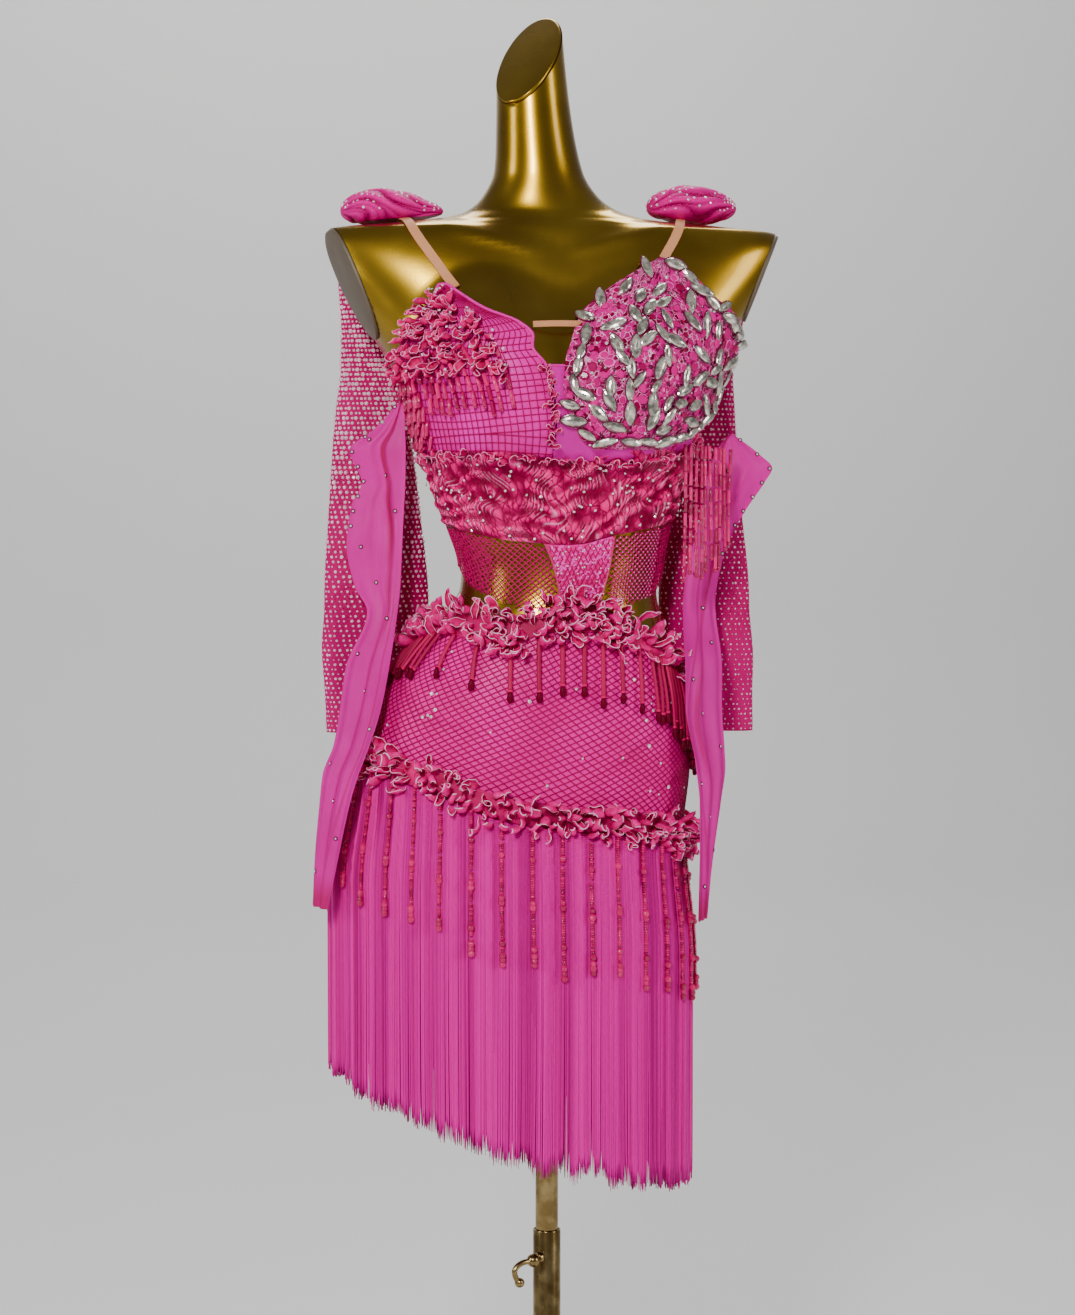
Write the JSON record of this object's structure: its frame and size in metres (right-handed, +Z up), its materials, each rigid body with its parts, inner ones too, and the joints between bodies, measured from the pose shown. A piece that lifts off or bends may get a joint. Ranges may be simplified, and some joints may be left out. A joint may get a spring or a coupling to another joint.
{
  "type": "rumba dance dress on a limbless dress form with a pole stand",
  "caption": "Fringed dance dress with beaded drops and open mesh sleeves, on a limbless dress form that turns on a pole stand of adjustable height.",
  "frame": {"origin": "middle of the base plate's underside, on the pole's axis", "axes": "+Z up along the pole, -Y the way the form's front faces, -X the wearer's right"},
  "size_m": [0.4334, 0.36, 1.5672],
  "materials": {
    "gold_paint": "glossy metallic gold lacquer",
    "taupe_plate": "matt taupe",
    "antique_brass": "polished antique brass, dark",
    "pink_satin": "hot pink satin",
    "pink_net": "fishnet and rhinestone mesh over pink satin",
    "pink_petals": "crinkled glossy petals and gathers with sequins",
    "pink_fringe": "hot pink chainette fringe",
    "pink_beads": "translucent red-pink bugle and round beads",
    "silver_stones": "silver and pink cut stones over pink satin",
    "nude_elastic": "nude elastic"
  },
  "bodies": {
    "stand": {"base_plate": "antique_brass", "hub": "antique_brass", "outer_tube": "antique_brass", "clamp_boss": "antique_brass"},
    "mast": {"mast": "antique_brass"},
    "clamp": {"clamp_screw": "antique_brass"},
    "form": {"dress_form": "gold_paint", "neck_cap": "gold_paint", "arm_plate_right": "taupe_plate", "arm_plate_left": "taupe_plate", "swivel_plate": "antique_brass", "bodice_front": "pink_satin", "midriff_centre": "pink_satin", "overlay_right": "pink_satin", "overlay_left": "pink_satin", "cup_right": "pink_net", "bodice_back": "pink_net", "midriff_net_right": "pink_net", "midriff_net_left": "pink_net", "midriff_back": "pink_net", "skirt_front": "pink_net", "skirt_back": "pink_net", "sleeve_top_right": "pink_net", "sleeve_top_left": "pink_net", "sleeve_right": "pink_net", "sleeve_left": "pink_net", "sleeve_cuff_right": "pink_net", "sleeve_cuff_left": "pink_net", "roll_right": "pink_net", "roll_left": "pink_net", "ruched_band": "pink_petals", "cup_ruffle": "pink_petals", "waist_trim": "pink_petals", "hip_trim": "pink_petals", "fringe_front": "pink_fringe", "fringe_back": "pink_fringe", "cup_bead_fringe": "pink_beads", "side_bead_fringe": "pink_beads", "underarm_bead_fringe": "pink_beads", "drop_fringe_front": "pink_beads", "drop_fringe_back": "pink_beads", "bead_fringe_front": "pink_beads", "bead_fringe_back": "pink_beads", "cup_left": "silver_stones", "strap_right": "nude_elastic", "strap_left": "nude_elastic", "chest_strap": "nude_elastic"}
  },
  "joints": [
    {"name": "height_slide", "type": "slide", "parent": "stand", "child": "mast", "axis": [0, 0, 1], "range_m": [-0.22, 0.05]},
    {"name": "form_swivel", "type": "hinge", "parent": "mast", "child": "form", "pos_m": [0, 0, 0.7335], "axis": [0, 0, 1], "continuous": true},
    {"name": "clamp_turn", "type": "hinge", "parent": "stand", "child": "clamp", "pos_m": [-0.01475, -0.01994, 0.4236], "axis": [-0.5948, -0.8039, 0], "range_deg": [-270, 0]}
  ]
}
